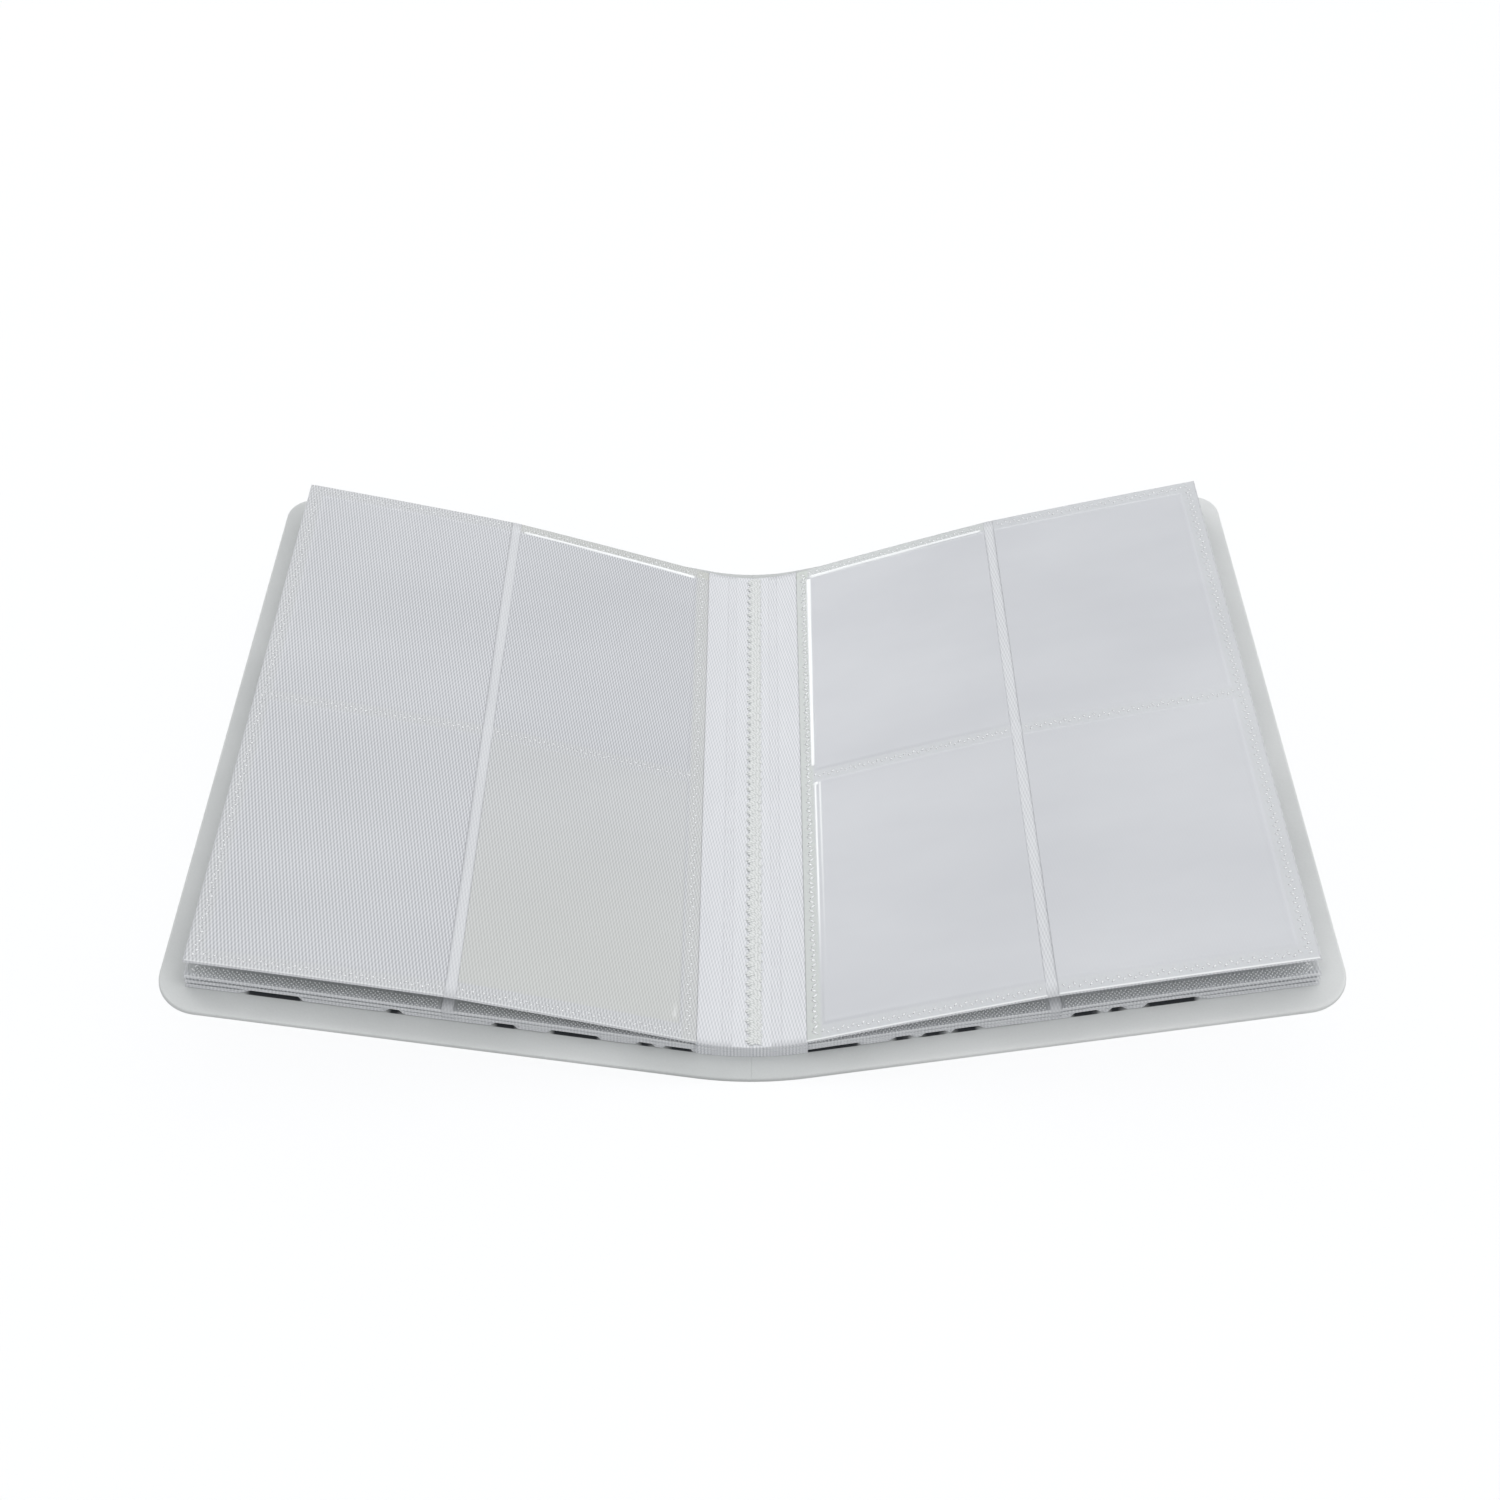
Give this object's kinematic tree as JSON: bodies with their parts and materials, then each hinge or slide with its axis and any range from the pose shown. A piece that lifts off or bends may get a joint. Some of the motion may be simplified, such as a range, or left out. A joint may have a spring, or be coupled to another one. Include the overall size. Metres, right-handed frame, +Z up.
{
  "type": "trading card album",
  "caption": "Open side-loading card album: folios of clear four-pocket leaves sewn along the gutter into a soft one-piece cover, with turning leaves and hinged cover halves.",
  "frame": {"origin": "under the middle of the spine, on the surface the album lies on", "axes": "+X from the spine to the back cover's half, +Y from the lower to the upper page edge, +Z up out of the open pages"},
  "size_m": [0.3296, 0.215, 0.0522],
  "materials": {
    "cover_soft_plastic": "matte",
    "embossed_page_sheet": "fine woven embossing",
    "clear_pocket_film": "clear satin film",
    "seam_thread": "spun thread"
  },
  "bodies": {
    "spine": {"spine_cover": "cover_soft_plastic", "front_cover_bend": "cover_soft_plastic", "back_cover_bend": "cover_soft_plastic", "gutter_fold_1": "embossed_page_sheet", "gutter_fold_2": "embossed_page_sheet", "gutter_fold_3": "embossed_page_sheet", "gutter_fold_4": "embossed_page_sheet", "zigzag_seam": "seam_thread"},
    "front_cover": {"front_cover_panel": "cover_soft_plastic"},
    "front_leaf_4": {"front_leaf_4_sheet": "embossed_page_sheet", "front_leaf_4_upper_inner_pockets": "clear_pocket_film", "front_leaf_4_upper_outer_pockets": "clear_pocket_film", "front_leaf_4_under_inner_pockets": "clear_pocket_film", "front_leaf_4_under_outer_pockets": "clear_pocket_film"},
    "front_leaf_3": {"front_leaf_3_sheet": "embossed_page_sheet", "front_leaf_3_upper_inner_pockets": "clear_pocket_film", "front_leaf_3_upper_outer_pockets": "clear_pocket_film", "front_leaf_3_under_inner_pockets": "clear_pocket_film", "front_leaf_3_under_outer_pockets": "clear_pocket_film"},
    "front_leaf_2": {"front_leaf_2_sheet": "embossed_page_sheet", "front_leaf_2_upper_inner_pockets": "clear_pocket_film", "front_leaf_2_upper_outer_pockets": "clear_pocket_film", "front_leaf_2_under_inner_pockets": "clear_pocket_film", "front_leaf_2_under_outer_pockets": "clear_pocket_film"},
    "front_leaf_1": {"front_leaf_1_sheet": "embossed_page_sheet", "front_leaf_1_upper_inner_pockets": "clear_pocket_film", "front_leaf_1_upper_outer_pockets": "clear_pocket_film", "front_leaf_1_under_inner_pockets": "clear_pocket_film", "front_leaf_1_under_outer_pockets": "clear_pocket_film"},
    "back_cover": {"back_cover_panel": "cover_soft_plastic"},
    "back_leaf_4": {"back_leaf_4_sheet": "embossed_page_sheet", "back_leaf_4_upper_inner_pockets": "clear_pocket_film", "back_leaf_4_upper_outer_pockets": "clear_pocket_film", "back_leaf_4_under_inner_pockets": "clear_pocket_film", "back_leaf_4_under_outer_pockets": "clear_pocket_film"},
    "back_leaf_3": {"back_leaf_3_sheet": "embossed_page_sheet", "back_leaf_3_upper_inner_pockets": "clear_pocket_film", "back_leaf_3_upper_outer_pockets": "clear_pocket_film", "back_leaf_3_under_inner_pockets": "clear_pocket_film", "back_leaf_3_under_outer_pockets": "clear_pocket_film"},
    "back_leaf_2": {"back_leaf_2_sheet": "embossed_page_sheet", "back_leaf_2_upper_inner_pockets": "clear_pocket_film", "back_leaf_2_upper_outer_pockets": "clear_pocket_film", "back_leaf_2_under_inner_pockets": "clear_pocket_film", "back_leaf_2_under_outer_pockets": "clear_pocket_film"},
    "back_leaf_1": {"back_leaf_1_sheet": "embossed_page_sheet", "back_leaf_1_upper_inner_pockets": "clear_pocket_film", "back_leaf_1_upper_outer_pockets": "clear_pocket_film", "back_leaf_1_under_inner_pockets": "clear_pocket_film", "back_leaf_1_under_outer_pockets": "clear_pocket_film"}
  },
  "joints": [
    {"name": "front_cover_hinge", "type": "hinge", "parent": "spine", "child": "front_cover", "pos_m": [-0.0075, 0, 0.004], "axis": [0, 1, 0], "range_deg": [-100, 75], "deforming": ["front_cover_bend", "gutter_fold_1", "gutter_fold_2", "gutter_fold_3", "gutter_fold_4"]},
    {"name": "front_leaf_4_turn", "type": "hinge", "parent": "front_cover", "child": "front_leaf_4", "pos_m": [-0.0075, 0, 0.0028], "axis": [0, -1, 0], "range_deg": [-11, 0]},
    {"name": "front_leaf_3_turn", "type": "hinge", "parent": "front_leaf_4", "child": "front_leaf_3", "pos_m": [-0.0075, 0, 0.0041], "axis": [0, -1, 0], "range_deg": [-11, 0]},
    {"name": "front_leaf_2_turn", "type": "hinge", "parent": "front_leaf_3", "child": "front_leaf_2", "pos_m": [-0.00749, 0, 0.0054], "axis": [0, -1, 0], "range_deg": [-11, 0]},
    {"name": "front_leaf_1_turn", "type": "hinge", "parent": "front_leaf_2", "child": "front_leaf_1", "pos_m": [-0.00748, 0, 0.00678], "axis": [0, -1, 0], "range_deg": [-141, 2]},
    {"name": "back_cover_hinge", "type": "hinge", "parent": "spine", "child": "back_cover", "pos_m": [0.0075, 0, 0.004], "axis": [0, -1, 0], "range_deg": [-100, 75], "deforming": ["back_cover_bend"]},
    {"name": "back_leaf_4_turn", "type": "hinge", "parent": "back_cover", "child": "back_leaf_4", "pos_m": [0.0075, 0, 0.0028], "axis": [0, 1, 0], "range_deg": [-11, 0]},
    {"name": "back_leaf_3_turn", "type": "hinge", "parent": "back_leaf_4", "child": "back_leaf_3", "pos_m": [0.0075, 0, 0.0041], "axis": [0, 1, 0], "range_deg": [-11, 0]},
    {"name": "back_leaf_2_turn", "type": "hinge", "parent": "back_leaf_3", "child": "back_leaf_2", "pos_m": [0.00749, 0, 0.0054], "axis": [0, 1, 0], "range_deg": [-11, 0]},
    {"name": "back_leaf_1_turn", "type": "hinge", "parent": "back_leaf_2", "child": "back_leaf_1", "pos_m": [0.00748, 0, 0.00678], "axis": [0, 1, 0], "range_deg": [-141, 2]}
  ]
}
